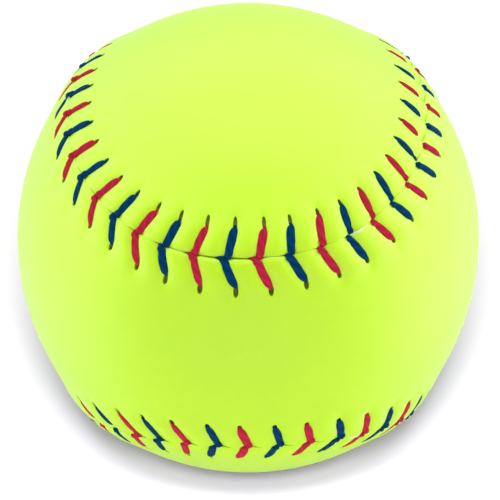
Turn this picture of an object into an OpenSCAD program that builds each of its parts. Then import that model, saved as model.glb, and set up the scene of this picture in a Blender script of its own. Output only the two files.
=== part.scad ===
// Twelve-inch softball: a compressed core, two yarn windings and a rubber coat
// inside a two-piece leather cover that is sewn with two threads.
// The origin is the centre of the ball. +Z goes up through a lobe of the back panel,
// and -Y goes forward through the waist of the front panel.

/* [Ball] */
// Girth of the finished ball, taped over its seam
ball_girth = 304.8; // [285:0.1:330]
// Height of the seam's ridge above the rest of the cover
seam_rise = 1.4; // [1.2:0.1:2]
// Width of the ridge on each side of the seam
ridge_w = 12.5; // [10:0.5:15]

/* [Cover] */
// Thickness of the cover leather
leather_t = 1.3; // [0.9:0.1:1.8]
// Width of a panel across its waist, along the surface
waist_w = 42.6; // [36:0.1:48]
// Gap between the cut edges of the two panels
seam_gap = 0.6; // [0.6:0.05:1]
// Distance from the seam at which a panel starts to roll down to its cut edge
roll_w = 1.5; // [1:0.1:2.5]
// Depth of that roll at the middle of the seam
roll_depth = 0.4; // [0.2:0.05:0.6]
// Turn of the seam towards the lobes beside each waist, in degrees
lobe_turn = 2.1; // [0:0.1:3]
// Turn of the seam towards the middle of each waist, in degrees
waist_turn = 0.8; // [0:0.1:1.5]

/* [Stitching] */
// Number of stitches round the seam, in eights
stitch_count = 88; // [80:8:96]
// Distance from the seam to the middle of each needle hole
hole_dist = 6.1; // [5.5:0.1:6.7]
// Distance of each needle hole behind the point of its stitch
hole_lag = 2.5; // [2:0.1:3]
// Length of a needle hole, across the seam
hole_len = 1.8; // [1.4:0.1:2]
// Width of a needle hole, along the seam
hole_w = 0.9; // [0.8:0.05:1.2]
// Diameter of the thread at the fattest place of a stitch
leg_d = 1.6; // [1:0.1:1.8]
// Diameter of the thread where it is drawn tight in the seam and under the cover
tight_d = 0.5; // [0.4:0.02:0.54]
// Distance along the seam between the two places where a stitch goes down into it
dive_split = 1.1; // [1:0.1:1.5]

/* [Inside] */
// Diameter of the compressed core
core_d = 68; // [60:1:78]
// Thickness of the outer winding of fine yarn
outer_winding_t = 2; // [1:0.1:3]
// Thickness of the rubber coat over the winding
coat_t = 0.5; // [0.3:0.1:1]
// Clearance between one layer and the next
layer_gap = 0.1; // [0.05:0.01:0.2]
// Room for the cement between the rubber coat and the cover
cement_gap = 0.35; // [0.3:0.05:0.5]
// Clearance round the thread
thread_gap = 0.06; // [0.03:0.01:0.1]

/* [Hidden] */
$fn = 96;

// Radii, from the cover inwards
seam_r = ball_girth / (2 * PI);
lobe_r = seam_r - seam_rise / 2;
cover_in_r = lobe_r - leather_t;
coat_r = cover_in_r - cement_gap;
outer_winding_r = coat_r - coat_t - layer_gap;
inner_winding_r = outer_winding_r - outer_winding_t - layer_gap;
inner_winding_t = inner_winding_r - core_d / 2 - layer_gap;

// The seam is a closed wave round the ball. Its shape follows from the waist's width.
waist_angle = turn_of(waist_w / 2);
wave_angle = (90 + waist_turn - waist_angle) / 2;
wave_main_share = pow(cos(wave_angle), 2);
wave_third_share = 1 - wave_main_share;

function turn_of(distance) = distance / seam_r * 180 / PI;
function unit(v) = v / norm(v);

// Direction from the ball's centre to the seam, at turn t of its wave
function seam_dir(t) =
    let (x = wave_main_share * cos(t) + wave_third_share * cos(3 * t))
    let (y = wave_main_share * sin(t) - wave_third_share * sin(3 * t))
    let (z = sin(2 * wave_angle) * sin(2 * t))
    let (height = asin(z) + waist_turn * sin(6 * t))
    let (heading = atan2(y, x) - lobe_turn * sin(4 * t) + 45)
    [cos(height) * cos(heading), -sin(height), cos(height) * sin(heading)];

// Length along the seam at even steps of the wave, for stepping along it evenly
wave_steps = 720;
wave_dirs = [for (i = [0:wave_steps]) seam_dir(i * 360 / wave_steps)];
seam_table = [for (i = 0, run = 0; i <= wave_steps;
                   run = run + (i < wave_steps ? norm(wave_dirs[i + 1] - wave_dirs[i]) * seam_r : 0),
                   i = i + 1) [run, i * 360 / wave_steps]];
seam_len = seam_table[wave_steps][0];
pitch = seam_len / stitch_count;

function wrap(s) = s - floor(s / seam_len) * seam_len;
function seam_at(s) = seam_dir(lookup(wrap(s), seam_table));
function seam_ahead(s) = unit(seam_at(s + pitch / 8) - seam_at(s - pitch / 8));

// Direction of a place s along the seam and v beside it, positive on the front panel
function beside(s, v) =
    let (here = seam_at(s))
    let (side = unit(cross(here, seam_ahead(s))))
    here * cos(turn_of(v)) + side * sin(turn_of(v));

// Height of the ridge at a distance from the seam, and the cover's outer and inner faces
function ridge(v) = abs(v) < ridge_w ? seam_rise * pow(cos(90 * v / ridge_w), 2) : 0;
function roll(v) = abs(v) < roll_w ? roll_depth * pow(1 - abs(v) / roll_w, 2) : 0;
function cover_out(v) = lobe_r + ridge(v) - roll(v);
function cover_in(v) = cover_in_r + ridge(v);

// Two places on the sphere blended along the arc between them
function blend(a, b, share) =
    let (angle = acos(a * b))
    (a * sin((1 - share) * angle) + b * sin(share * angle)) / sin(angle);

// A panel's middle line runs from one lobe to the other across the waist.
// Each place on the seam has its own place on that line.
spine_share = 0.58;
function spine_of(dir, panel) =
    let (turn = spine_share * (panel > 0 ? atan2(dir.x, -dir.y) : atan2(dir.z, dir.y)))
    panel > 0 ? [sin(turn), -cos(turn), 0] : [0, cos(turn), sin(turn)];

// Rows of a panel's net: the rim's rows have two places for each stitch, one on either side
// of its needle hole, and the field's rows have one
rim_rows = [seam_gap / 2, roll_w, hole_dist - hole_len / 2, hole_dist + hole_len / 2];
field_rows = [(hole_dist + hole_len / 2 + ridge_w) / 2, ridge_w];
lobe_row_shares = [0.2, 0.4, 0.6, 0.8, 0.95];
rim_n = 2 * stitch_count;
field_first = len(rim_rows) * rim_n;
field_n = len(field_rows) + len(lobe_row_shares);
face_n = field_first + field_n * stitch_count;

function rim_points(panel, outside) = [
    for (v = rim_rows, j = [0:stitch_count - 1], end = [-1, 1])
        beside(j * pitch - hole_lag + end * hole_w / 2, panel * v) * (outside ? cover_out(v) : cover_in(v))
];

function field_points(panel, outside) =
    let (dirs = [for (v = field_rows) [for (j = [0:stitch_count - 1]) beside(j * pitch - hole_lag, panel * v)]])
    let (last = dirs[len(field_rows) - 1])
    [
        for (r = [0:len(field_rows) - 1], j = [0:stitch_count - 1])
            dirs[r][j] * (outside ? cover_out(field_rows[r]) : cover_in(field_rows[r])),
        for (share = lobe_row_shares, j = [0:stitch_count - 1])
            blend(last[j], spine_of(seam_at(j * pitch - hole_lag), panel), share)
                * (outside ? lobe_r : cover_in_r)
    ];

// Two triangles for a four-sided patch, and the same split along its shorter diagonal
function patch(a, b, c, d) = [[a, b, c], [a, c, d]];
function best_patch(points, a, b, c, d) =
    norm(points[a] - points[c]) < norm(points[b] - points[d]) ? patch(a, b, c, d) : patch(b, c, d, a);
function rim_id(row, k) = row * rim_n + (k + rim_n) % rim_n;
function field_id(row, j) = field_first + row * stitch_count + (j + stitch_count) % stitch_count;

// Triangles of one face of a panel. Holes are left open, and the last row is closed
// by rungs across the middle line, from one lobe's tip to the other.
function face_net(points, tip) = [
    for (row = [0:len(rim_rows) - 2], k = [0:rim_n - 1])
        if (row < len(rim_rows) - 2 || k % 2 == 1)
            each patch(rim_id(row, k), rim_id(row, k + 1), rim_id(row + 1, k + 1), rim_id(row + 1, k)),
    for (j = [0:stitch_count - 1]) let (row = len(rim_rows) - 1)
        each concat([[rim_id(row, 2 * j), rim_id(row, 2 * j + 1), field_id(0, j)]],
                    patch(rim_id(row, 2 * j + 1), rim_id(row, 2 * j + 2), field_id(0, j + 1), field_id(0, j))),
    for (row = [0:field_n - 2], j = [0:stitch_count - 1])
        each best_patch(points, field_id(row, j), field_id(row, j + 1),
                        field_id(row + 1, j + 1), field_id(row + 1, j)),
    for (k = [0:stitch_count / 2 - 1]) let (row = field_n - 1)
        each [
            if (k > 0) [field_id(row, tip - k), field_id(row, tip + k), field_id(row, tip + k + 1)],
            if (k < stitch_count / 2 - 1 || k == 0)
                [field_id(row, tip - k), field_id(row, tip + k + 1), field_id(row, tip - k - 1)]
        ]
];

// Triangles that join the outer face to the inner one, along the cut edge and in the holes
function wall(a, b) = patch(b, a, a + face_n, b + face_n);
function wall_net() = [
    for (k = [0:rim_n - 1]) each wall(rim_id(0, k), rim_id(0, k + 1)),
    for (j = [0:stitch_count - 1])
        let (row = len(rim_rows) - 2)
        let (corners = [rim_id(row, 2 * j), rim_id(row, 2 * j + 1), rim_id(row + 1, 2 * j + 1), rim_id(row + 1, 2 * j)])
        for (c = [0:3]) each wall(corners[(c + 1) % 4], corners[c])
];

function turned(net) = [for (f = net) [f[0], f[2], f[1]]];
function lifted(net) = [for (f = net) f + [face_n, face_n, face_n]];

module panel(panel) {
    tip = stitch_count * (panel > 0 ? 3 : 1) / 8;
    points = concat(rim_points(panel, true), field_points(panel, true),
                    rim_points(panel, false), field_points(panel, false));
    net = face_net(points, tip);
    whole = concat(net, lifted(turned(net)), wall_net());
    polyhedron(points, panel > 0 ? turned(whole) : whole, convexity = 10);
}

// The thread is pulled against the end of each hole that is nearer the seam
tight_r = tight_d / 2;
leg_r = leg_d / 2;
thread_dist = hole_dist - hole_len / 2 + thread_gap + tight_r;

// Radii of the thread's middle line where it runs under the cover, comes out of a hole
// and goes down into the seam
under_r = coat_r + 2 * thread_gap + tight_r;
mouth_r = cover_out(thread_dist) + 2 * thread_gap + tight_r;
brow_r = cover_out(0) + roll_depth + 2 * thread_gap + tight_r;
deep_r = cover_in(0) - tight_r;

// Where a leg is fat, as shares of its way from the hole to the seam
leg_shares = [0.3, 0.72];

// Middle line and radius of the thread on one leg, on the back panel for a side of -1.
// It comes up through the hole, lies on the leather and goes down the seam at place dive.
function leg_run(hole, dive, side) = [
    [beside(hole, side * thread_dist) * under_r, tight_r],
    [beside(hole, side * thread_dist) * mouth_r, tight_r],
    for (share = leg_shares)
        let (v = thread_dist * (1 - share))
        [beside(hole + hole_lag * share, side * v) * (cover_out(v) + 2 * thread_gap + leg_r), leg_r],
    [beside(dive, 0) * brow_r, tight_r],
    [beside(dive, 0) * deep_r, tight_r]
];

// One stitch: a leg on the back panel, then one on the front panel, then a run under
// the back panel on its way to the same thread's next stitch
function stitch_run(j) =
    let (s = j * pitch)
    let (hole = s - hole_lag)
    let (halfway = (s + hole + 2 * pitch + dive_split / 2) / 2)
    concat(leg_run(hole, s - dive_split / 2, -1),
           leg_run(hole, s + dive_split / 2, 1),
           [[beside(halfway, -thread_dist / 2) * under_r, tight_r]]);

// A tube along a line of places and radii. Each ring turns no more than its line does.
tube_sides = 5;
function across(v, along) = unit(v - along * (v * along));
function tube_points(run) =
    let (last = len(run) - 1)
    let (along = [for (i = [0:last]) unit(run[min(i + 1, last)][0] - run[max(i - 1, 0)][0])])
    [for (i = 0, side = across(run[0][0], along[0]); i <= last;
          i = i + 1, side = i <= last ? across(side, along[i]) : side)
        for (k = [0:tube_sides - 1]) let (turn = 360 * k / tube_sides)
            run[i][0] + (side * cos(turn) + cross(along[i], side) * sin(turn)) * run[i][1]];

function tube_net(rings) = concat(
    [for (i = [0:rings - 2], k = [0:tube_sides - 1])
        let (a = i * tube_sides + k)
        let (b = i * tube_sides + (k + 1) % tube_sides)
        each patch(a, a + tube_sides, b + tube_sides, b)],
    [[for (k = [0:tube_sides - 1]) k]],
    [[for (k = [0:tube_sides - 1]) rings * tube_sides - 1 - k]]
);

// One thread sews every other stitch, and its two ends are tucked under the cover
module thread(first) {
    whole_run = [for (j = [first:2:stitch_count - 1]) each stitch_run(j)];
    run = [for (i = [0:len(whole_run) - 2]) whole_run[i]];
    polyhedron(tube_points(run), tube_net(len(run)), convexity = 10);
}

// Least clear distance between the two threads, and of a thread from itself,
// measured on points along the first stitches
function along_run(run) = [for (i = [0:len(run) - 2], share = [0, 0.25, 0.5, 0.75])
    run[i] * (1 - share) + run[i + 1] * share];
function least_gap(run, other) = min([for (p = run, q = other) norm(p[0] - q[0]) - p[1] - q[1]]);
function part_run(j, first, last) = along_run([for (i = [first:last]) stitch_run(j)[i]]);
sample = [for (j = [0:2]) along_run(stitch_run(j))];
echo(least_gap_between_threads = min(least_gap(sample[0], sample[1]), least_gap(sample[1], sample[2])),
     least_gap_of_a_thread_to_itself = min(least_gap(sample[0], sample[2]),
                                           least_gap(part_run(0, 0, 5), part_run(0, 7, 12))));

// A hollow layer of the ball
module layer(outer_r, wall) {
    difference() {
        sphere(r = outer_r);
        sphere(r = outer_r - wall);
    }
}

module core() {
    color("#c9a878") sphere(d = core_d);
}

module inner_winding() {
    color("#b9b4a6") layer(inner_winding_r, inner_winding_t);
}

module outer_winding() {
    color("#e6e2d6") layer(outer_winding_r, outer_winding_t);
}

module rubber_coat() {
    color("#d8c48e") layer(coat_r, coat_t);
}

module front_panel() {
    color("#cff04c") panel(1);
}

module back_panel() {
    color("#cff04c") panel(-1);
}

module red_thread() {
    color("#cc2850") thread(1);
}

module navy_thread() {
    color("#003c6e") thread(0);
}

core();
inner_winding();
outer_winding();
rubber_coat();
front_panel();
back_panel();
red_thread();
navy_thread();
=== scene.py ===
"""A twelve-inch softball: two leather panels sewn round a wound core with red and navy thread."""

import math

import bmesh
import bpy
import numpy as np
from mathutils import Matrix, Vector


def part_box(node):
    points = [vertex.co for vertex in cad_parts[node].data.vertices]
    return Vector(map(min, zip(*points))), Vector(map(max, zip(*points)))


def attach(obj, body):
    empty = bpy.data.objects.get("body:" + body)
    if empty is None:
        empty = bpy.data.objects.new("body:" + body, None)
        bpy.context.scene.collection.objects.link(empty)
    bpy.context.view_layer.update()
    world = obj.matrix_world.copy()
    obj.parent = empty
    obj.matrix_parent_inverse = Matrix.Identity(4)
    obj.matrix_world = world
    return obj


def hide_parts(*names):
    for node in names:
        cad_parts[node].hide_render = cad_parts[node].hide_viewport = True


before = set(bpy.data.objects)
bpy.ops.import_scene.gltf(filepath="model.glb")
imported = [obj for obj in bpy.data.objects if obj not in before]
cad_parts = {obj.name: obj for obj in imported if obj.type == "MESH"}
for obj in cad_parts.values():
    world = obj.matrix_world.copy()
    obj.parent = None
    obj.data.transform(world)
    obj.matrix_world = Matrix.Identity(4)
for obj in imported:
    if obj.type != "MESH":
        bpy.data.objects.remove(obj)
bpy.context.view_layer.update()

# Lengths of the ball's own parts are in millimetres, and Blender's meshes in metres
MM = 0.001

# The rubber coat, and the cover at its lobes, where the ball is lowest, at the middle height
# of the seam's ridge and at its inner face
coat_low, coat_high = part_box("rubber_coat")
COAT_R = (coat_high[2] - coat_low[2]) / 2 / MM
LOBE_R = -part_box("back_panel")[0][2] / MM
SEAM_RISE = 1.4
SEAM_R = LOBE_R + SEAM_RISE / 2
LEATHER_T = 1.3
COVER_IN_R = LOBE_R - LEATHER_T
RIDGE_W = 12.5

# The seam's wave
WAIST_W = 42.6
LOBE_TURN = math.radians(2.1)
WAIST_TURN = math.radians(0.8)
WAVE_ANGLE = (math.radians(90.8) - WAIST_W / 2 / SEAM_R) / 2
WAVE_MAIN_SHARE = math.cos(WAVE_ANGLE) ** 2
WAVE_THIRD_SHARE = 1 - WAVE_MAIN_SHARE

# The stitches. What belongs to the front panel has the key 1, and to the back panel -1.
STITCHES = 88
SIDES = (1, -1)
# A hole and a leg's foot lie this far behind the stitch's point
HOLE_LAG = {1: 3.1, -1: 2.7}
FOOT_LAG = {1: 0.95, -1: 1.6}
# A hole lies from the near to the far distance from the seam
HOLE_NEAR = {1: 5.0, -1: 5.1}
HOLE_FAR = {1: 7.3, -1: 7.8}
HOLE_W = 0.78
HOLE_DEPTH = 0.95
# The thread meets its hole between these distances from the seam, and bows out from a
# straight line by a power between these, where 1 is straight
THREAD_ENDS = {1: (5.25, 5.8), -1: (5.35, 5.85)}
BOWS = {1: (1.0, 1.35), -1: (1.15, 1.7)}
# How unevenly a hand sews: how far holes and feet of the stitches stray, in millimetres, and
# how much the thread's thickness varies
STRAY = 0.16
FAT_SPREAD = 0.05
SIDE_OF = {"front_panel": 1, "back_panel": -1}
# Where along the seam each panel's middle line starts, as a share of the seam's length
LOBE_TIP = {1: 3 / 8, -1: 1 / 8}

rng = np.random.default_rng(88)


def seam_dir(turn):
    """Direction from the ball's centre to the seam, at this turn of its wave."""
    x = WAVE_MAIN_SHARE * np.cos(turn) + WAVE_THIRD_SHARE * np.cos(3 * turn)
    y = WAVE_MAIN_SHARE * np.sin(turn) - WAVE_THIRD_SHARE * np.sin(3 * turn)
    z = math.sin(2 * WAVE_ANGLE) * np.sin(2 * turn)
    height = np.arcsin(z) + WAIST_TURN * np.sin(6 * turn)
    heading = np.arctan2(y, x) - LOBE_TURN * np.sin(4 * turn) + math.pi / 4
    flat = np.cos(height)
    return np.stack([flat * np.cos(heading), -np.sin(height), flat * np.sin(heading)], axis=-1)


def unit(v):
    """Directions of the same headings, each of length 1."""
    return v / np.linalg.norm(v, axis=-1, keepdims=True)


WAVE_STEPS = np.linspace(0, 2 * math.pi, 2881)
WAVE_LENGTHS = np.linalg.norm(np.diff(seam_dir(WAVE_STEPS), axis=0), axis=-1) * SEAM_R
WAVE_RUN = np.concatenate([[0], np.cumsum(WAVE_LENGTHS)])
SEAM_LEN = WAVE_RUN[-1]
PITCH = SEAM_LEN / STITCHES


def seam_at(s):
    """Direction from the ball's centre to the place s along the seam."""
    return seam_dir(np.interp(np.mod(s, SEAM_LEN), WAVE_RUN, WAVE_STEPS))


def near(x, width):
    """1 at zero, falling smoothly to nothing at about twice the width."""
    return np.exp(-0.5 * (x / width) ** 2)


def ease(x, start, end):
    """0 before start, 1 after end, and smooth between them."""
    share = np.clip((x - start) / (end - start), 0, 1)
    return share * share * (3 - 2 * share)


def from_stitch(s, place):
    """Signed distance along the seam from a stitch's place to s, the shorter way round."""
    return np.mod(s - place + SEAM_LEN / 2, SEAM_LEN) - SEAM_LEN / 2


# Where the sewn seam strays from its even wave: the middle of each stretch and its reach, in
# stitches, and how far it strays towards the front panel, in millimetres
SEAM_STRAYS = ((6.2, 3.2, -0.85), (16, 1.4, -0.45))
# What lies beside the seam strays with it, less and less between these distances from it.
# On the back panel both are so much greater.
STRAY_FULL, STRAY_GONE = 1, 12
STRAY_BACK = 3


def beside(s, v):
    """Direction of a place s along the seam and v beside it, positive on the front panel."""
    here = seam_at(s)
    ahead = unit(seam_at(s + PITCH / 8) - seam_at(s - PITCH / 8))
    aside = unit(np.cross(here, ahead))
    stray = 0
    for middle, reach, aslant in SEAM_STRAYS:
        stray = stray + aslant * near(from_stitch(s, middle * PITCH), reach * PITCH)
    kept = 1 - ease(np.where(v > 0, v, -v - STRAY_BACK), STRAY_FULL, STRAY_GONE)
    turn = (v + stray * kept)[..., None] / SEAM_R
    return here * np.cos(turn) + aside * np.sin(turn)


# Each stitch has its point on the seam, a hole on each panel, and a foot at the end of
# each leg, where the leg meets the seam
POINT = np.arange(STITCHES) * PITCH
HOLE = {side: POINT - HOLE_LAG[side] + rng.normal(0, STRAY, STITCHES) for side in SIDES}
FOOT = {side: POINT - FOOT_LAG[side] + rng.normal(0, STRAY / 2, STITCHES) for side in SIDES}
THREAD_END = {side: rng.uniform(*THREAD_ENDS[side], STITCHES) for side in SIDES}
BOW = {side: rng.uniform(*BOWS[side], STITCHES) for side in SIDES}
FAT = rng.normal(1, FAT_SPREAD, STITCHES)

# In some stretches the hand drew the stitches on or back along the seam. Each row has the middle
# of the stretch and its reach, in stitches, and how much farther on its holes and feet lie and
# how much farther from the seam its threads end, in millimetres.
DRAWN = (
    (1.3, 2.15, {1: (2.5, 2.2, -0.3), -1: (1.3, 1.7, 0.3)}),
    (19.2, 3.2, {1: (-1.0, -0.7, -0.85), -1: (-0.35, -0.35, -0.35)}),
    (23.5, 1.3, {1: (-0.6, -0.6, 0), -1: (-0.8, -0.9, 0)}),
    (50.8, 0.7, {1: (0.9, 0.8, 0.3), -1: (-0.3, 0, 0)}),
    (54.5, 3.0, {1: (0.8, 0.25, 0), -1: (-0.5, -0.1, 0)}),
    (59.5, 1.8, {1: (0.5, 0.4, 0), -1: (0.6, 0.8, 0)}),
)


def drawn_on(s, side):
    """How far the holes, feet and threads' ends at s lie off their even places."""
    off = np.zeros((3, *np.shape(s)))
    for middle, reach, shifts in DRAWN:
        share = near(from_stitch(s, middle * PITCH), reach * PITCH)
        off += np.multiply.outer(shifts[side], share)
    return off


for side in SIDES:
    hole_shift, foot_shift, end_shift = drawn_on(POINT, side)
    HOLE[side] += hole_shift
    FOOT[side] += foot_shift
    THREAD_END[side] += end_shift

# Stitches whose thread lies fatter or thinner than the rest, and by what share
FATTER = {1: 0.88, 5: 0.9, 10: 1.08, 11: 1.15, 12: 1.13, 15: 0.93, 51: 0.86, 54: 1.06, 55: 1.2}
for stitch, share in FATTER.items():
    FAT[stitch] *= share

# Where the seam stands a little open, counted in stitches: there its dark line shows, and
# the threads' ends lie along it. This fades over the first reach, in stitches, and the
# needle holes there are drawn long over the second.
OPEN_PLACES = (11.8, 30.5, 49.3, 66.0, 80.6)
OPEN_REACH = 1.15
LONG_HOLES_REACH = 2.6


def near_open(s, reach):
    """1 where the seam stands open, falling to nothing over a reach counted in stitches."""
    gaps = [from_stitch(s, place * PITCH) for place in OPEN_PLACES]
    return np.max([near(gap, reach * PITCH) for gap in gaps], axis=0)


def openness(s):
    """How far the seam stands open at s, from 0 to 1."""
    return near_open(s, OPEN_REACH)


# Stretches where the leather's edge lies over the ends of the legs: the panel's side, the
# middle in stitches, how far from the middle this starts to fade and ends, and how much it is
LAPPED = (
    (-1, 1.2, 1.8, 4.3, 1),
    (-1, 6.5, 1.2, 2.6, 0.45),
    (1, 6.5, 1.2, 2.8, 0.4),
    (1, 48.4, 1.5, 2.5, 1),
)


def lapped(s, side):
    """How far the panel's edge lies over the thread at s, from 0 to 1."""
    most = np.zeros(np.shape(s))
    for panel, middle, start, end, amount in LAPPED:
        gap = np.abs(from_stitch(s, middle * PITCH)) / PITCH
        if panel == side:
            most = np.maximum(most, amount * (1 - ease(gap, start, end)))
    return most


def leg_place(j, v, side):
    """Where the leg of stitch j lies along the seam, at a distance v from it."""
    share = 1 - np.clip(v / THREAD_END[side][j], 0, 1) ** BOW[side][j]
    return HOLE[side][j] + (FOOT[side][j] - HOLE[side][j]) * share


# Evenly spaced directions along the seam
SEAM_STEPS = 720
SEAM_LINE = seam_at(np.arange(SEAM_STEPS) * SEAM_LEN / SEAM_STEPS)
# The sewn seam raises a low broad swell round it, of this width and height, and on that a
# narrower crest
SWELL_W = 12
SWELL = 0.58
CREST = 0.77
# How far the cover stands out everywhere, and how much farther at the very top. It is slack
# by so much at the front panel's two lobes.
FULL = 0.2
FULL_ABOVE = 0.2
LOBE_SLACK = 0.8
# Below this share of its radius the cover gets true, down to the spot where the ball rests
REST_SHARE = 0.86


def fullness(towards):
    """How far the cover stands out or in, in directions from the ball's centre."""
    gap = np.arccos(np.clip(towards @ SEAM_LINE.T, -1, 1)) * SEAM_R
    share = SEAM_LEN / SEAM_STEPS / (SWELL_W * math.sqrt(2 * math.pi))
    swell = np.sum(near(gap, SWELL_W), axis=-1) * share
    x, z = towards[..., 0], towards[..., 2]
    out = FULL + SWELL * swell - LOBE_SLACK * x**2 + FULL_ABOVE * z
    return out * (1 - ease(-z, REST_SHARE, 1))


# The leather rolls down to its cut edge over this width, by the first depth where the seam
# is shut, and by the second more where it stands open
ROLL_W = 1.5
ROLL_DEPTH = 0.06
OPEN_ROLL_DEPTH = 0.44
# Each leg draws the leather in, with a wide valley and a narrow one in it, each with its
# depth and width. The leather puffs up between them. Both end between these distances.
VALLEYS = ((0.5, 1.25), (0.15, 0.6))
PUFF = 0.25
VALLEY_FULL, VALLEY_END = 4.6, 9.6
# A leg's middle lies about this far behind the stitch's point
LEG_LAG = 2.2


def leather_r(s, v, side):
    """Radius of the leather's outer face, drawn in by each stitch and full between them."""
    v = np.abs(v)
    ridge = CREST * np.where(v < RIDGE_W, np.cos(math.pi / 2 * v / RIDGE_W) ** 2, 0)
    ridge = ridge + fullness(beside(s, side * v))
    roll = (ROLL_DEPTH + OPEN_ROLL_DEPTH * openness(s)) * np.clip(1 - v / ROLL_W, 0, 1) ** 2
    pull = np.zeros(np.broadcast(s, v).shape)
    nearest = np.rint(np.mod(s + LEG_LAG, SEAM_LEN) / PITCH).astype(int)
    for step in (-1, 0, 1):
        j = (nearest + step) % STITCHES
        gap = from_stitch(s, leg_place(j, v, side))
        for depth, width in VALLEYS:
            pull = pull + depth * near(gap, width)
    return LOBE_R + ridge - roll - (pull - PUFF) * (1 - ease(v, VALLEY_FULL, VALLEY_END))


# Here and there the front panel's cut edge turns up and shows the pale middle of the hide.
# Each place is counted in stitches, and fades over this reach in millimetres.
TURNED_UP = (7.5, 21.5, 40.45, 58.5, 76.4)
TURNED_UP_REACH = 1.8


def turned_up(s):
    """How far the cut edge is turned up at s, from 0 to 1."""
    gaps = [from_stitch(s, place * PITCH) for place in TURNED_UP]
    return np.max([near(gap, TURNED_UP_REACH) ** 2 for gap in gaps], axis=0)


# The threads that go down at a stitch's point spread the seam's edges apart. The spread
# starts and ends between these places, counted from the point, and this share of it is left
# where the seam is shut.
SPREAD_START = (-2.2, -1.8)
SPREAD_END = (0.2, 0.9)
SPREAD_SHARE = 0.25


def opening(s):
    """How far a stitch spreads the seam's edges apart at s, from 0 to 1."""
    nearest = np.rint(np.mod(s, SEAM_LEN) / PITCH).astype(int)
    spread = np.zeros(np.shape(s))
    for step in (-1, 0, 1):
        gap = from_stitch(s, POINT[(nearest + step) % STITCHES])
        spread = np.maximum(spread, ease(gap, *SPREAD_START) * (1 - ease(gap, *SPREAD_END)))
    shut = np.maximum(lapped(s, 1), lapped(s, -1))
    return spread * (SPREAD_SHARE + (1 - SPREAD_SHARE) * openness(s)) * (1 - shut)


def hole_reach(s, side):
    """How far from the seam a needle hole at s starts and ends."""
    start = HOLE_NEAR[side] + drawn_on(s, side)[2]
    drawn = 0.5 + 0.5 * near_open(s, LONG_HOLES_REACH)
    return start, start + (HOLE_FAR[side] - HOLE_NEAR[side]) * drawn


# Past its ends, a hole's columns in the net widen again over this length. Its ends keep
# this share of its width, squared.
WIDENING = 1.3
TIP_SHARE = 0.004


def hole_half_width(v, start, end):
    """Half the width of a needle hole at v, and of its columns in the net past its ends."""
    middle = (start + end) / 2
    half = (end - start) / 2
    reach = np.abs(v - middle) / half
    lens = HOLE_W / 2 * np.sqrt(np.clip(1 - reach**2, TIP_SHARE, 1))
    beyond = np.clip((np.abs(v - middle) - half) / WIDENING, 0, 1)
    return np.where(reach < 1, lens, lens + (HOLE_W / 2 - lens) * beyond)


def mesh_object(name, points, faces, smooth_below=math.radians(45)):
    """A closed mesh in the ball's frame, from places in millimetres."""
    mesh = bpy.data.meshes.new(name)
    mesh.from_pydata((np.asarray(points) * MM).tolist(), [], faces)
    mesh.validate()
    mesh.shade_smooth()
    mesh.set_sharp_from_angle(angle=smooth_below)
    piece = bpy.data.objects.new(name, mesh)
    bpy.context.scene.collection.objects.link(piece)
    return piece


# A panel's net. Its columns go across the seam: those of each hole and those beside it, by
# their distances along the seam from the hole's middle.
HOLE_COLUMNS = np.array([-0.45, -0.4, -0.2, 0, 0.2, 0.4, 0.45])
SIDE_COLUMNS = np.array([0.62, 0.9, 1.25, 1.65, 2.1, 2.55])
HOLE_BAND = 0.5
COLUMNS = np.concatenate([-SIDE_COLUMNS[::-1], HOLE_COLUMNS, SIDE_COLUMNS, [PITCH / 2]])
# Its rows go along the seam. Up to the hole they are shares of the way to it, then shares of
# its length, then distances from the seam, and last shares of the way to the middle line.
RIM_SHARES = [0, 0.022, 0.036, 0.054, 0.084, 0.14, 0.22, 0.32, 0.44, 0.56, 0.68, 0.8, 0.9, 0.985]
HOLE_SHARES = [0, 0.03, 0.1, 0.21, 0.39, 0.59, 0.76, 0.88, 0.965, 1]
FIELD_ROWS = [8.3, 8.6, 9.0, 9.5, 10.1, 10.8, 11.7, RIDGE_W]
LOBE_SHARES = [0.03, 0.08, 0.14, 0.21, 0.3, 0.4, 0.5, 0.6, 0.7, 0.8, 0.9, 0.96]
UNDER_ROWS = (0.28, 4, 8, RIDGE_W)
UNDER_SHARES = (0.2, 0.45, 0.7, 0.96)
# How far along its lobes a panel's middle line goes
SPINE_SHARE = 0.58

# Half the gap between the panels' cut edges where the seam is shut, how much more it is where
# the seam stands open, and how much more where a stitch spreads it
EDGE_GAP = 0.003
OPEN_EDGE_GAP = 0.027
SPREAD_GAP = 0.2
# The spread and the turned-up edge reach this far into the leather, and a turned-up edge
# stands so much higher
RIM_W = 1.2
LIFT = 0.35
# In the open places the edge falls off into the seam, over this width and by this depth
GROOVE_W = 0.13
GROOVE = 0.2
# Widths of the painted shade along the open seam's edge and of the pale rim of a turned-up one, and
# how dark the painted shade is
SEAM_SHADE_W = 0.14
SEAM_SHADE = 0.75
PALE_W = 0.25
# The cut edge's face, by its depth below the rim and how dark its painted shade is there where the
# seam stands open.
# It lies this much farther from the seam's middle than the rim.
CUT_ROWS = ((0.12, 0.8), (0.5, 1))
CUT_STEP = 0.01


def column_places(side):
    """Places of the net's columns along the seam, and how far each lies from its hole."""
    holes = np.sort(HOLE[side])
    after = np.append(holes[1:], holes[0] + SEAM_LEN) - holes
    before = np.roll(after, 1)
    offsets = np.tile(COLUMNS, (STITCHES, 1))
    scale = np.where(offsets > 0, after[:, None], before[:, None]) / PITCH
    offsets = offsets * scale
    return (holes[:, None] + offsets).ravel(), offsets.ravel()


def spine_of(dirs, side):
    """The place on the panel's middle line that goes with each place on the seam."""
    if side > 0:
        turn = SPINE_SHARE * np.arctan2(dirs[:, 0], -dirs[:, 1])
        return np.stack([np.sin(turn), -np.cos(turn), 0 * turn], axis=-1)
    turn = SPINE_SHARE * np.arctan2(dirs[:, 2], dirs[:, 1])
    return np.stack([0 * turn, np.cos(turn), np.sin(turn)], axis=-1)


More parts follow.
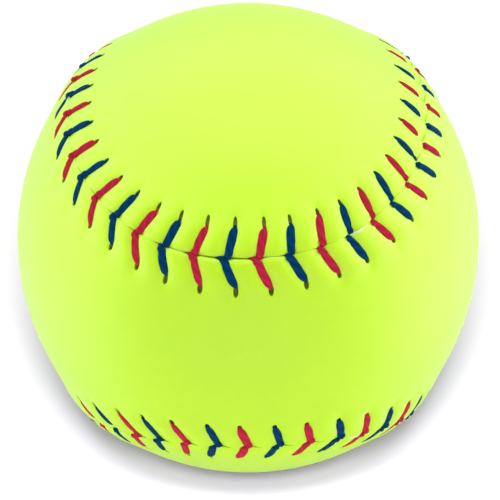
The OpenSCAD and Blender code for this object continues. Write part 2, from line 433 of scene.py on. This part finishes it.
def blended(a, b, share):
    """Directions at this share of the way from a to b, along the great circle."""
    angle = np.arccos(np.clip(np.sum(a * b, axis=-1, keepdims=True), -1, 1))
    return (a * np.sin((1 - share) * angle) + b * np.sin(share * angle)) / np.sin(angle)


def net_faces(first, rows, n, tip):
    """Faces of a net of closed rows. Rungs across the last row shut it, from tip to tip."""
    faces = []
    for row in range(rows - 1):
        low = first + row * n
        for k in range(n):
            after = (k + 1) % n
            faces.append((low + k, low + after, low + n + after, low + n + k))
    last = first + (rows - 1) * n
    for k in range(n // 2):
        a = last + (tip - k) % n
        b = last + (tip + k) % n
        c = last + (tip + k + 1) % n
        d = last + (tip - k - 1) % n
        faces.append(tuple(dict.fromkeys((a, b, c, d))))
    return faces


def leather_panel(name):
    """One panel of the cover, with its ridge, valleys, needle holes, cut edge and inner face."""
    side = SIDE_OF[name]
    places, offsets = column_places(side)
    n = len(places)
    in_hole = np.abs(offsets) < HOLE_BAND
    in_floor = np.tile(np.isin(COLUMNS, HOLE_COLUMNS[1:-1]), STITCHES)
    spread = opening(places)
    lift = turned_up(places) if side > 0 else np.zeros(n)
    dark = openness(places) * (1 - lift)
    edge = EDGE_GAP + OPEN_EDGE_GAP * openness(places) + spread * SPREAD_GAP
    points, hollow, raw = [], [], []

    start, end = hole_reach(places - offsets, side)
    rim_rows = [share * start for share in RIM_SHARES]
    hole_rows = [start + share * (end - start) for share in HOLE_SHARES]
    for v in rim_rows + hole_rows + FIELD_ROWS:
        narrowed = hole_half_width(v, start, end) / (HOLE_W / 2) - 1
        s = places + np.where(in_hole, offsets * narrowed, 0)
        at_edge = np.clip(1 - v / RIM_W, 0, 1)
        reach = np.maximum(v + spread * SPREAD_GAP * at_edge, edge)
        r = leather_r(s, reach, side) - GROOVE * near(v, GROOVE_W) * dark + lift * LIFT * at_edge
        depth = np.where(in_floor & (v > start) & (v < end), HOLE_DEPTH, 0)
        points.append(beside(s, side * reach) * (r - depth)[:, None])
        # Painted shade: full at the floor of each needle hole, and along the edge where the seam
        # stands open
        hollow.append(depth / HOLE_DEPTH + SEAM_SHADE * near(v, SEAM_SHADE_W) * dark)
        raw.append(lift * near(v, PALE_W))

    rim = beside(places, side * RIDGE_W)
    spine = spine_of(seam_at(places), side)
    for share in LOBE_SHARES:
        towards = blended(rim, spine, share)
        points.append(towards * (LOBE_R + fullness(towards))[:, None])
        hollow.append(np.zeros(n))
        raw.append(np.zeros(n))
    outer_rows = len(points)

    # The cut edge gets painted shade down in the open seam, and shows the undyed middle of the hide
    # where it turns up
    top = leather_r(places, edge, side) - GROOVE * dark + lift * LIFT
    for drop, shade in CUT_ROWS:
        points.append(beside(places, side * (edge + CUT_STEP)) * (top - drop)[:, None])
        hollow.append(shade * dark)
        raw.append(lift)
    # The cover's inner face, inside the ball, is painted with full shade
    for v in UNDER_ROWS:
        inner = COVER_IN_R + SEAM_RISE * math.cos(math.pi / 2 * v / RIDGE_W) ** 2
        points.append(beside(places, np.full(n, side * v)) * inner)
        hollow.append(np.ones(n))
        raw.append(np.zeros(n))
    for share in UNDER_SHARES:
        points.append(blended(rim, spine, share) * COVER_IN_R)
        hollow.append(np.ones(n))
        raw.append(np.zeros(n))

    tip = int(np.argmin(np.abs(places - SEAM_LEN * LOBE_TIP[side])))
    outer = net_faces(0, outer_rows, n, tip)
    under_first = outer_rows * n
    under = net_faces(under_first, len(points) - outer_rows, n, tip)
    join = [(k, under_first + k, under_first + (k + 1) % n, (k + 1) % n) for k in range(n)]
    flip = side < 0
    faces = [f[::-1] if flip else f for f in outer + join] + [f if flip else f[::-1] for f in under]

    piece = mesh_object(name + "_leather", np.concatenate(points), faces)
    for label, values in (("hollow", hollow), ("raw_edge", raw)):
        layer = piece.data.attributes.new(label, "FLOAT", "POINT")
        layer.data.foreach_set("value", np.concatenate(values).astype(np.float32))
    return piece


# A sewing thread's half width and half height where it lies on the leather, and where it
# is drawn tight in the seam, in the holes and under the cover
LEG_HALF_W = 0.77
LEG_HALF_H = 0.29
TIGHT = 0.27
# Radii of the thread's middle below a hole, where it passes under the cover, and low in the
# seam, and the least radius of a leg that is sunk under the leather's edge
UNDER_R = COAT_R + 0.12 + TIGHT
PASS_R = COVER_IN_R + 0.35
DIVE_R = COVER_IN_R + 0.9
SUNK_R = COVER_IN_R + 0.35
# On the leather the thread's middle is this share of its half height above the surface
LAID_SHARE = 0.6
# Where the leather's edge lies over a leg, the leg sinks between the first two distances from
# the seam and once more between the last two. Each time it sinks and thins by so much.
UNDER_START, UNDER_END = 0.9, 2.3
LAST_START, LAST_END = 0.35, 1.0
UNDER_DROP, LAST_DROP = 0.8, 0.45
UNDER_THIN_SHARE, LAST_THIN_SHARE = 0.3, 0.2
# A leg from its hole to its foot: the share of its length that is left to the seam, and the
# shares of the leg's half width and half height there
LEG_SHARES = (
    (0.955, 0.62, 0.66),
    (0.88, 0.85, 0.86),
    (0.78, 0.98, 0.97),
    (0.63, 1.02, 1),
    (0.47, 1, 1),
    (0.32, 0.96, 1),
    (0.19, 0.92, 0.97),
)

# A thread's route is a list of places, each with its place along the seam, its distance from
# the seam, its radius, and the thread's half width and half height there


def leg_route(j, side):
    """The thread from under a hole to the leg's foot at the seam."""
    hole = HOLE[side][j]
    stop = THREAD_END[side][j]
    wide, high = LEG_HALF_W * FAT[j], LEG_HALF_H * FAT[j]
    skin = float(leather_r(hole, stop, side))
    route = [
        (hole, stop, UNDER_R, TIGHT, TIGHT),
        (hole, stop, (UNDER_R + skin) / 2, 0.36, TIGHT),
        (hole, stop - 0.02, skin - 0.1, 0.4, 0.3),
    ]
    for share, w, h in LEG_SHARES:
        v = share * stop
        s = float(leg_place(j, v, side))
        half = h * high
        route.append((s, v, float(leather_r(s, v, side)) + LAID_SHARE * half, w * wide, half))
    return route


def under_edge(route, j, side):
    """A leg on its own side of the seam, sunk beside it where the leather's edge lies over it."""
    covered = float(lapped(POINT[j], side))
    laid = []
    for s, v, r, w, h in route:
        under = covered * float(1 - ease(v, UNDER_START, UNDER_END))
        last = covered * float(1 - ease(v, LAST_START, LAST_END))
        sunk = covered * (UNDER_DROP * under + LAST_DROP * last)
        thinned = w * (1 - UNDER_THIN_SHARE * under - LAST_THIN_SHARE * last)
        laid.append((s, side * v, max(r - sunk, SUNK_R), thinned, h))
    return laid


def tucked_leg(j):
    """The back panel's leg, which goes straight down into the seam beside the other leg."""
    side = -1
    route = leg_route(j, side)
    foot = FOOT[side][j]
    lip = float(leather_r(foot, 0.3, side))
    route += [
        (foot, 0.5, lip + 0.42, 0.72, 0.42),
        (foot + 0.02, 0.1, lip + 0.16, 0.66, 0.3),
        (foot, -0.05, lip - 0.5, 0.55, 0.22),
        (foot - 0.1, -0.05, DIVE_R, 0.4, 0.24),
    ]
    return under_edge(route, j, side)


def tailed_leg(j):
    """The front panel's leg, whose end turns along the seam and goes down at the stitch's point."""
    side = 1
    route = leg_route(j, side)
    foot = FOOT[side][j]
    lip = float(leather_r(foot, 0.3, side))
    tail = 0.75 + float(openness(foot))
    route += [
        (foot + 0.06, 0.62, lip + 0.44, 0.7, 0.45),
        (foot + 0.2 * tail, 0.34, lip + 0.4, 0.58, 0.4),
        (foot + 0.42 * tail, 0.12, lip + 0.28, 0.42, 0.32),
        (foot + 0.64 * tail, 0.03, lip + 0.14, 0.32, 0.26),
        (foot + 0.87 * tail, 0, lip - 0.06, 0.24, 0.22),
        (foot + tail, 0, lip - 0.5, 0.2, 0.2),
        (foot + 0.95 * tail, 0, DIVE_R, 0.24, 0.24),
    ]
    return under_edge(route, j, side)


def thread_route(first):
    """The whole route of one thread, which sews every other stitch."""
    route = []
    for j in range(first, STITCHES, 2):
        tucked, tailed = tucked_leg(j), tailed_leg(j)
        middle = (tucked[-1][0] + tailed[0][0]) / 2
        on = (tailed[-1][0] + tucked[0][0] + 2 * PITCH) / 2
        route += tucked
        # Under the front panel to its hole, and after the stitch under the back panel to the next
        route += [
            (middle, 2.2, PASS_R + 0.4, TIGHT, TIGHT),
            (tailed[0][0], 4.6, PASS_R + 0.1, TIGHT, TIGHT),
        ]
        route += tailed
        if j + 2 < STITCHES:
            route += [
                (on - 2.5, -1.6, PASS_R + 0.4, TIGHT, TIGHT),
                (on, -3.1, PASS_R + 0.3, TIGHT, TIGHT),
                (on + 2.5, -4.5, PASS_R + 0.1, TIGHT, TIGHT),
            ]
    return route


def smooth_run(values, steps, lengths):
    """A smooth line through values that lie these lengths apart, in steps between each two."""
    slope = np.diff(values, axis=0) / lengths[:, None]
    before, after = lengths[:-1, None], lengths[1:, None]
    inner = (slope[:-1] * after + slope[1:] * before) / (before + after)
    slopes = np.concatenate([slope[:1], inner, slope[-1:]])
    parts = []
    for step in range(steps):
        t = step / steps
        a = 2 * t**3 - 3 * t**2 + 1
        b = t**3 - 2 * t**2 + t
        c = 3 * t**2 - 2 * t**3
        d = t**3 - t**2
        parts.append(
            a * values[:-1]
            + b * lengths[:, None] * slopes[:-1]
            + c * values[1:]
            + d * lengths[:, None] * slopes[1:]
        )
    run = np.stack(parts, axis=1).reshape(-1, values.shape[1])
    return np.concatenate([run, values[-1:]])


THREAD_SIDES = 16
THREAD_STEPS = 3
PLIES = 3
# A ply goes once round the thread in this length, and stands out by this share of its width
PLY_LAY = 7.5
PLY_SHARE = 0.035
# How strongly the thread's wide side is held level with the leather at each step
LEVELLING = 0.8


def sewn_thread(name, first):
    """One thread: a closed tube of three plies, flat on the leather and round where it is tight."""
    route = np.array(thread_route(first))
    centres = beside(route[:, 0], route[:, 1]) * route[:, 2:3]
    lengths = np.linalg.norm(np.diff(centres, axis=0), axis=-1)
    run = smooth_run(np.concatenate([centres, route[:, 3:]], axis=1), THREAD_STEPS, lengths)
    centre, half_w, half_h = run[:, :3], run[:, 3], run[:, 4]
    along = unit(np.gradient(centre, axis=0))
    outward = unit(centre)
    flat = np.cross(along, outward)

    # The thread's wide side stays level with the leather, and turns over in each hole
    sides = np.zeros_like(centre)
    side = unit(flat[0])
    for i in range(len(centre)):
        side = side - along[i] * (side @ along[i])
        level = np.linalg.norm(flat[i])
        pull = flat[i] * (1 if flat[i] @ side > 0 else -1)
        side = unit(unit(side) + pull * level * LEVELLING)
        side = unit(side - along[i] * (side @ along[i]))
        sides[i] = side
    tops = np.cross(along, sides)

    arc = np.concatenate([[0], np.cumsum(np.linalg.norm(np.diff(centre, axis=0), axis=-1))])
    around = np.arange(THREAD_SIDES) * 2 * math.pi / THREAD_SIDES
    twist = arc[:, None] * 2 * math.pi / PLY_LAY
    plies = 1 + PLY_SHARE * np.cos(PLIES * around[None, :] + twist * PLIES)
    points = (
        centre[:, None, :]
        + sides[:, None, :] * (half_w[:, None] * np.cos(around) * plies)[:, :, None]
        + tops[:, None, :] * (half_h[:, None] * np.sin(around) * plies)[:, :, None]
    ).reshape(-1, 3)

    n = THREAD_SIDES
    faces = []
    for i in range(len(centre) - 1):
        for k in range(n):
            after = (k + 1) % n
            faces.append((i * n + k, i * n + after, (i + 1) * n + after, (i + 1) * n + k))
    faces.append(tuple(range(n))[::-1])
    faces.append(tuple((len(centre) - 1) * n + k for k in range(n)))
    piece = mesh_object(name + "_sewn", points, faces, math.radians(60))

    # The plies' own angle round the thread and the length along it, for the fibres
    for label, values in (("around", np.tile(around, len(centre))), ("along", np.repeat(arc, n))):
        layer = piece.data.attributes.new(label, "FLOAT", "POINT")
        layer.data.foreach_set("value", values.astype(np.float32))
    return piece


def linear(code):
    """A colour written as in a paint chart, such as c9f046, in the renderer's linear values."""
    parts = [int(code[i : i + 2], 16) / 255 for i in (0, 2, 4)]
    return [p / 12.92 if p <= 0.04045 else ((p + 0.055) / 1.055) ** 2.4 for p in parts] + [1.0]


def material(name):
    """A new node material and its shader."""
    made = bpy.data.materials.new(name)
    made.use_nodes = True
    tree = made.node_tree
    tree.nodes.clear()
    shader = add_node(tree, "ShaderNodeBsdfPrincipled")
    add_node(tree, "ShaderNodeOutputMaterial", {"Surface": shader.outputs["BSDF"]})
    return made, tree, shader


def add_node(tree, kind, inputs=None, **settings):
    """A node of this kind with its settings. Each input takes a value, or another node's output."""
    node = tree.nodes.new(kind)
    for label, value in settings.items():
        setattr(node, label, value)
    for label, value in (inputs or {}).items():
        if isinstance(value, bpy.types.NodeSocket):
            tree.links.new(value, node.inputs[label])
        else:
            node.inputs[label].default_value = value
    return node


def optic_leather():
    """Optic-yellow cowhide for balls: chrome tanned, with a smooth pigment coat that is pressed
    with a fine grain and sealed half glossy. The eye sees flat fluorescent yellow-green, a pale
    sheen towards the rim and faint pores."""
    made, tree, shader = material("optic_leather")
    place = add_node(tree, "ShaderNodeTexCoord").outputs["Object"]
    # Shades of the pigment coat drift over about 18 mm
    drift = add_node(tree, "ShaderNodeTexNoise", {"Vector": place, "Scale": 55, "Detail": 3})
    coat = add_node(tree, "ShaderNodeMix", {"Factor": drift.outputs["Fac"]}, data_type="RGBA")
    coat.inputs["A"].default_value = linear("c0f20a")
    coat.inputs["B"].default_value = linear("c8f610")
    # Pressed grain: cells of about 0.8 mm, with finer pores between them
    grain = add_node(
        tree,
        "ShaderNodeTexVoronoi",
        {"Vector": place, "Scale": 1250, "Randomness": 0.9},
        feature="SMOOTH_F1",
    )
    pores = add_node(
        tree,
        "ShaderNodeTexNoise",
        {"Vector": place, "Scale": 2600, "Detail": 4, "Roughness": 0.6},
    )
    relief = add_node(tree, "ShaderNodeMix", {"Factor": 0.4}, data_type="FLOAT")
    tree.links.new(grain.outputs["Distance"], relief.inputs["A"])
    tree.links.new(pores.outputs["Fac"], relief.inputs["B"])
    bump = add_node(
        tree,
        "ShaderNodeBump",
        {"Height": relief.outputs["Result"], "Strength": 0.35, "Distance": 0.04 * MM},
    )
    gloss = add_node(
        tree,
        "ShaderNodeMapRange",
        {"Value": pores.outputs["Fac"], "To Min": 0.4, "To Max": 0.5},
    )
    # The raw middle of the hide is pale. Dark olive is painted as shade into the needle holes, the
    # open seam, its cut edge and the cover's inner face.
    raw = add_node(tree, "ShaderNodeAttribute", attribute_name="raw_edge")
    hollow = add_node(tree, "ShaderNodeAttribute", attribute_name="hollow")
    edged = add_node(tree, "ShaderNodeMix", {"Factor": raw.outputs["Fac"]}, data_type="RGBA")
    tree.links.new(coat.outputs["Result"], edged.inputs["A"])
    edged.inputs["B"].default_value = linear("ecf0cc")
    holed = add_node(tree, "ShaderNodeMix", {"Factor": hollow.outputs["Fac"]}, data_type="RGBA")
    tree.links.new(edged.outputs["Result"], holed.inputs["A"])
    # The dark olive of the painted shade
    holed.inputs["B"].default_value = linear("8a9420")
    tree.links.new(holed.outputs["Result"], shader.inputs["Base Color"])
    tree.links.new(gloss.outputs["Result"], shader.inputs["Roughness"])
    tree.links.new(bump.outputs["Normal"], shader.inputs["Normal"])
    shader.inputs["IOR"].default_value = 1.5
    # The clear seal over the pigment
    shader.inputs["Coat Weight"].default_value = 0.5
    shader.inputs["Coat Roughness"].default_value = 0.3
    shader.inputs["Coat IOR"].default_value = 1.5
    return made


def sewing_thread(name, lit, groove_shade):
    """Waxed sewing thread of three twisted plies: the eye sees a dense even colour with a soft gloss,
    painted shade in the grooves between the plies, and fine fibres along them."""
    made, tree, shader = material(name)
    around = add_node(tree, "ShaderNodeAttribute", attribute_name="around").outputs["Fac"]
    along = add_node(tree, "ShaderNodeAttribute", attribute_name="along").outputs["Fac"]
    # Where on its ply each place lies: the groove between two plies comes round three times
    turned = add_node(tree, "ShaderNodeMath", operation="MULTIPLY_ADD")
    tree.links.new(along, turned.inputs[0])
    turned.inputs[1].default_value = 2 * math.pi / PLY_LAY
    tree.links.new(around, turned.inputs[2])
    thrice = add_node(tree, "ShaderNodeMath", operation="MULTIPLY")
    tree.links.new(turned.outputs["Value"], thrice.inputs[0])
    thrice.inputs[1].default_value = PLIES
    wave = add_node(tree, "ShaderNodeMath", operation="COSINE")
    tree.links.new(thrice.outputs["Value"], wave.inputs[0])
    ply = add_node(tree, "ShaderNodeMapRange", {"Value": wave.outputs["Value"], "From Min": -1.0})
    # Fibres of about 0.15 mm
    place = add_node(tree, "ShaderNodeTexCoord").outputs["Object"]
    fibres = add_node(tree, "ShaderNodeTexNoise", {"Vector": place, "Scale": 5200, "Detail": 2})
    # Painted shade: the colour darkens towards the grooves between the plies
    tone = add_node(tree, "ShaderNodeMix", {"Factor": ply.outputs["Result"]}, data_type="RGBA")
    tone.inputs["A"].default_value = linear(groove_shade)
    tone.inputs["B"].default_value = linear(lit)
    tree.links.new(tone.outputs["Result"], shader.inputs["Base Color"])
    relief = add_node(tree, "ShaderNodeMix", {"Factor": 0.35}, data_type="FLOAT")
    tree.links.new(ply.outputs["Result"], relief.inputs["A"])
    tree.links.new(fibres.outputs["Fac"], relief.inputs["B"])
    bump = add_node(
        tree,
        "ShaderNodeBump",
        {"Height": relief.outputs["Result"], "Strength": 0.5, "Distance": 0.08 * MM},
    )
    tree.links.new(bump.outputs["Normal"], shader.inputs["Normal"])
    gloss = add_node(
        tree,
        "ShaderNodeMapRange",
        {"Value": fibres.outputs["Fac"], "To Min": 0.6, "To Max": 0.75},
    )
    tree.links.new(gloss.outputs["Result"], shader.inputs["Roughness"])
    shader.inputs["IOR"].default_value = 1.45
    shader.inputs["Specular IOR Level"].default_value = 0.05
    return made


def packed_fibre(name, light, dark, scale, rough):
    """Packed kapok, wound yarn or rubber cement: pressed fibres, strands wound over each other,
    or brush marks. The eye sees two shades of one stuff and its shallow relief."""
    made, tree, shader = material(name)
    place = add_node(tree, "ShaderNodeTexCoord").outputs["Object"]
    strands = add_node(
        tree,
        "ShaderNodeTexNoise",
        {"Vector": place, "Scale": scale, "Detail": 5, "Distortion": 1.2},
    )
    tone = add_node(tree, "ShaderNodeMix", {"Factor": strands.outputs["Fac"]}, data_type="RGBA")
    tone.inputs["A"].default_value = linear(dark)
    tone.inputs["B"].default_value = linear(light)
    tree.links.new(tone.outputs["Result"], shader.inputs["Base Color"])
    bump = add_node(tree, "ShaderNodeBump", {"Height": strands.outputs["Fac"], "Distance": 0.4 * MM})
    tree.links.new(bump.outputs["Normal"], shader.inputs["Normal"])
    shader.inputs["Roughness"].default_value = rough
    return made


# Build the cover and the threads, in place of the plain CAD solids
leather = optic_leather()
for node in SIDE_OF:
    panel = leather_panel(node)
    panel.data.materials.append(leather)
    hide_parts(node)
    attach(panel, "root")

# Each thread with its colour on the plies and the darker colour of its painted shade in the grooves
for node, first, lit, groove_shade in (
    ("navy_thread", 0, "003e6a", "003159"),
    ("red_thread", 1, "c22643", "aa203c"),
):
    thread = sewn_thread(node, first)
    thread.data.materials.append(sewing_thread("waxed_" + node, lit, groove_shade))
    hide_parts(node)
    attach(thread, "root")

# The layers inside keep their CAD solids. Each has its material's name, a light and a dark
# shade, how many of its marks go into a metre, and its roughness.
INSIDES = {
    "core": ("packed_kapok", "d8bf92", "b3925e", 700, 0.9),
    "inner_winding": ("coarse_yarn", "c4bfb2", "8f8a7c", 900, 0.9),
    "outer_winding": ("fine_yarn", "efece2", "cfcabb", 1800, 0.85),
    "rubber_coat": ("rubber_cement", "dcc98f", "c4ab68", 400, 0.4),
}
for node, (name, light, dark, scale, rough) in INSIDES.items():
    made = packed_fibre(name, light, dark, scale, rough)
    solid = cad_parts[node]
    if not solid.material_slots:
        solid.data.materials.append(made)
    for place in solid.material_slots:
        place.material = made


# The photograph's view: azimuth and elevation round the ball, and the camera's roll
AZIMUTH, ELEVATION, ROLL = math.radians(-0.715), math.radians(29.855), math.radians(-0.54)
DISTANCE = 459.4 * MM
# The camera's focal length, the picture's width, and where the ball's centre lies in it
FOCAL_PX = 2233.0
FRAME_PX = 500
BALL_X_PX, BALL_Y_PX = 248.27, 238.17
SENSOR_W = 36


def aim_camera():
    """A camera in the photograph's place, turned as its camera was."""
    data = bpy.data.cameras.new("camera")
    data.sensor_width = SENSOR_W
    data.lens = FOCAL_PX / FRAME_PX * SENSOR_W
    data.shift_x = (FRAME_PX / 2 - BALL_X_PX) / FRAME_PX
    data.shift_y = (BALL_Y_PX - FRAME_PX / 2) / FRAME_PX
    data.clip_start = 0.01
    camera = bpy.data.objects.new("camera", data)
    bpy.context.scene.collection.objects.link(camera)
    back = Vector(
        (
            math.cos(ELEVATION) * math.sin(AZIMUTH),
            -math.cos(ELEVATION) * math.cos(AZIMUTH),
            math.sin(ELEVATION),
        )
    )
    right = Vector((math.cos(AZIMUTH), math.sin(AZIMUTH), 0))
    up = back.cross(right)
    turn = Matrix((right, up, back)).transposed().to_4x4()
    camera.matrix_world = Matrix.Translation(back * DISTANCE) @ turn @ Matrix.Rotation(ROLL, 4, "Z")
    bpy.context.scene.camera = camera


aim_camera()


# Close to the spot where the ball rests, the floor that the camera sees is painted a little violet,
# to cancel the yellow-green light that the ball throws there: so its shadow looks grey. Each ring has
# its radius in millimetres and the share of red, green and blue light that the floor throws back.
FLOOR_RINGS = (
    (14, (0.339, 0.3, 0.4)),
    (20, (0.33, 0.3, 0.378)),
    (38, (0.312, 0.3, 0.342)),
    (58, (0.304, 0.3, 0.315)),
    (100, (0.3, 0.3, 0.3)),
)
RINGS_REACH = 250
# Farther off than this, in millimetres, the camera sees the floor brighter, up to full white
WHITE_START, WHITE_END = 112, 380
# Half the sheet's width, in metres, and its gap below the ball, in millimetres
FLOOR_HALF = 4.0
FLOOR_GAP = 0.02


def white_floor():
    """A large pale sheet under the ball. It shows white to the camera and keeps the ball's shadow."""
    z = -(LOBE_R + FLOOR_GAP) * MM
    mesh = bpy.data.meshes.new("floor")
    form = bmesh.new()
    corners = ((-1, -1), (1, -1), (1, 1), (-1, 1))
    form.faces.new([form.verts.new((x * FLOOR_HALF, y * FLOOR_HALF, z)) for x, y in corners])
    form.to_mesh(mesh)
    form.free()
    floor = bpy.data.objects.new("floor", mesh)
    bpy.context.scene.collection.objects.link(floor)
    made = bpy.data.materials.new("white_floor")
    made.use_nodes = True
    tree = made.node_tree
    tree.nodes.clear()
    paint = add_node(tree, "ShaderNodeBsdfDiffuse", {"Color": linear("8b8b8b")})
    place = add_node(tree, "ShaderNodeTexCoord").outputs["Object"]
    flat = add_node(tree, "ShaderNodeVectorMath", {0: place, 1: (1, 1, 0)}, operation="MULTIPLY")
    away = add_node(tree, "ShaderNodeVectorMath", {0: flat.outputs["Vector"]}, operation="LENGTH")
    share = add_node(
        tree,
        "ShaderNodeMapRange",
        {"Value": away.outputs["Value"], "From Max": RINGS_REACH * MM},
    )
    rings = add_node(tree, "ShaderNodeValToRGB", {"Fac": share.outputs["Result"]})
    stops = rings.color_ramp.elements
    while len(stops) < len(FLOOR_RINGS):
        stops.new(1)
    for stop, (radius, colour) in zip(stops, FLOOR_RINGS):
        stop.position = radius / RINGS_REACH
        stop.color = (*colour, 1)
    # The camera sees the floor with the painted violet rings that cancel the ball's yellow-green
    # light
    shown = add_node(tree, "ShaderNodeBsdfDiffuse", {"Color": rings.outputs["Color"]})
    far = add_node(
        tree,
        "ShaderNodeMapRange",
        {"Value": away.outputs["Value"], "From Min": WHITE_START * MM, "From Max": WHITE_END * MM},
    )
    white = add_node(tree, "ShaderNodeEmission", {"Strength": far.outputs["Result"]})
    seen = add_node(tree, "ShaderNodeAddShader", {0: shown.outputs[0], 1: white.outputs[0]})
    path = add_node(tree, "ShaderNodeLightPath")
    pick = add_node(
        tree,
        "ShaderNodeMixShader",
        {0: path.outputs["Is Camera Ray"], 1: paint.outputs[0], 2: seen.outputs[0]},
    )
    add_node(tree, "ShaderNodeOutputMaterial", {"Surface": pick.outputs[0]})
    mesh.materials.append(made)
    floor.visible_glossy = False
    return floor


floor = white_floor()

# How bright the white room is on what it lights, and in reflections
ROOM = 0.42
SHINE = 4.2
# In reflections the room gets dimmer towards each of these: what stands in front of the
# ball, the camera, the floor in the ball's shadow, the wall behind and the sides. Each row has a
# direction, how squarely a reflection points to it where the dimming starts and where it
# ends, and the share of the light that is left there.
REFLECTED = (
    ((0, -0.9, -0.44), 0.05, 0.8, 0.0),
    ((0, -0.867, 0.498), 0.6, 1.0, 0.5),
    ((0, 0, -1), 0.4, 1.0, 0.15),
    ((0, 0.867, -0.498), -0.3, 1.0, 0.28),
    ((0, 1, 0), 0.6, 1.0, 0.6),
    ((-1, 0, 0), 0.3, 1.0, 0.74),
    ((1, 0, 0), 0.3, 1.0, 0.9),
)
# Lamps by azimuth and elevation in degrees, with the share of full white that each one
# gives a surface that faces it, and how widely it is spread
LAMPS = (
    ("left_lamp", -95, 25, 0.235, 50),
    ("right_lamp", 95, 25, 0.32, 50),
    ("top_lamp", 0, 80, 0.3, 40),
)
# The lamps that draw the ball's shadow stand near the camera, each with its elevation in
# degrees, width and height in metres and power in watts. They light the floor alone, because
# the ball is lit evenly from all sides.
SHADOW_DISTANCE = 0.582
SHADOW_LAMPS = (
    ("low_shadow_lamp", 33, 0.146, 0.128, 9.7),
    ("high_shadow_lamp", 48, 0.262, 0.128, 11.9),
)


def soft_light():
    """A white room with broad soft lamps round the ball, and the lamps that draw its shadow."""
    world = bpy.data.worlds.new("white_room")
    world.use_nodes = True
    # The room is found by the rays themselves, so that each kind of ray sees its own level
    world.cycles.sampling_method = "NONE"
    tree = world.node_tree
    tree.nodes.clear()
    path = add_node(tree, "ShaderNodeLightPath")
    direction = add_node(tree, "ShaderNodeTexCoord").outputs["Generated"]
    # In reflections the room is brightest at the sides and overhead
    mirrored = SHINE
    for towards, start, end, least in REFLECTED:
        squarely = add_node(
            tree,
            "ShaderNodeVectorMath",
            {0: direction, 1: towards},
            operation="DOT_PRODUCT",
        ).outputs["Value"]
        share = add_node(
            tree,
            "ShaderNodeMapRange",
            {"Value": squarely, "From Min": start, "From Max": end, "To Min": 1.0, "To Max": least},
            interpolation_type="SMOOTHSTEP",
        ).outputs["Result"]
        dimmed = add_node(tree, "ShaderNodeMath", {0: share, 1: mirrored}, operation="MULTIPLY")
        mirrored = dimmed.outputs["Value"]
    walls = add_node(
        tree,
        "ShaderNodeMapRange",
        {"Value": path.outputs["Is Glossy Ray"], "To Min": ROOM, "To Max": mirrored},
    )
    strength = add_node(
        tree,
        "ShaderNodeMapRange",
        {"Value": path.outputs["Is Camera Ray"], "To Min": walls.outputs["Result"]},
    )
    room = add_node(tree, "ShaderNodeBackground", {"Strength": strength.outputs["Result"]})
    room.inputs["Color"].default_value = (1, 1, 1, 1)
    add_node(tree, "ShaderNodeOutputWorld", {"Surface": room.outputs[0]})
    bpy.context.scene.world = world

    for name, azimuth, elevation, level, spread in LAMPS:
        data = bpy.data.lights.new(name, "SUN")
        data.energy = level * math.pi
        data.angle = math.radians(spread)
        lamp = bpy.data.objects.new(name, data)
        lamp.rotation_euler = (math.radians(90 - elevation), 0, math.radians(azimuth))
        bpy.context.scene.collection.objects.link(lamp)
        lamp.visible_glossy = False

    lit = bpy.data.collections.new("lit_by_shadow_lamps")
    lit.objects.link(floor)
    for name, elevation, width, height, power in SHADOW_LAMPS:
        data = bpy.data.lights.new(name, "AREA")
        data.shape = "ELLIPSE"
        data.size = width
        data.size_y = height
        data.energy = power
        lamp = bpy.data.objects.new(name, data)
        tilt = Matrix.Rotation(math.radians(90 - elevation), 4, "X")
        turn = Matrix.Rotation(AZIMUTH, 4, "Z") @ tilt
        lamp.matrix_world = turn @ Matrix.Translation((0, 0, SHADOW_DISTANCE))
        bpy.context.scene.collection.objects.link(lamp)
        lamp.light_linking.receiver_collection = lit


soft_light()
bpy.context.scene.view_settings.view_transform = "Standard"
